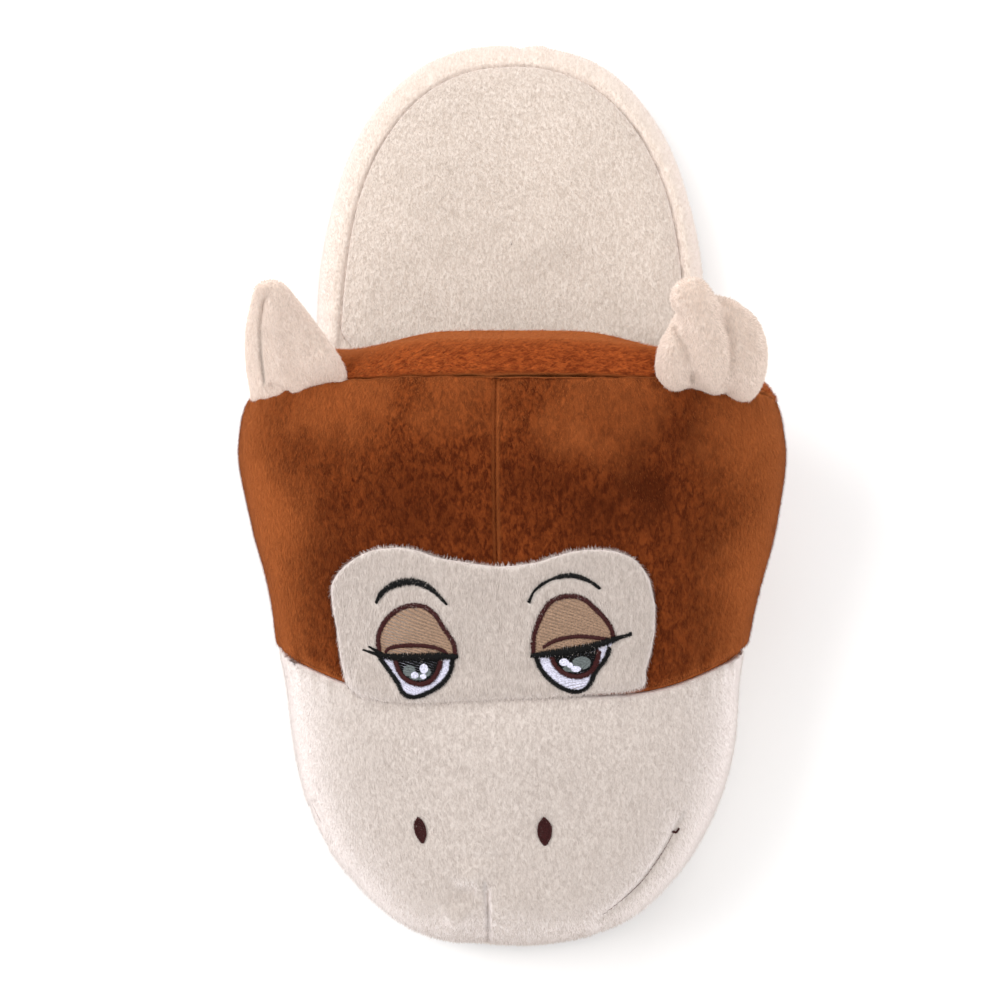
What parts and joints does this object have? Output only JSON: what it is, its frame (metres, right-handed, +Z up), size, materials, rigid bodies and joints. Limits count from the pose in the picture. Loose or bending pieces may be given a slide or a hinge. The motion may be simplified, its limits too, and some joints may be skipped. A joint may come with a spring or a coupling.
{
  "type": "animal slipper",
  "caption": "Plush open-backed slipper with a stuffed animal-head upper, half-closed eyes, an upright and a curled ear, and a padded sole.",
  "frame": {"origin": "middle of the sole's underside, on the floor", "axes": "+Z up, +Y towards the heel, -Y towards the toe, +X to the wearer's left when the toe points away"},
  "size_m": [0.1558, 0.275, 0.1237],
  "materials": {
    "cream_plush": "short-pile plush",
    "brown_plush": "short-pile plush",
    "outsole_fabric": "woven, with small grip dots",
    "thread": "satin embroidery thread"
  },
  "bodies": {
    "root": {"outsole": "outsole_fabric", "midsole": "cream_plush", "insole": "cream_plush", "upper": "brown_plush", "muzzle_panel": "cream_plush", "face_patch": "cream_plush", "collar_band": "brown_plush", "ear_upright": "cream_plush", "ear_curled": "cream_plush"}
  },
  "joints": []
}
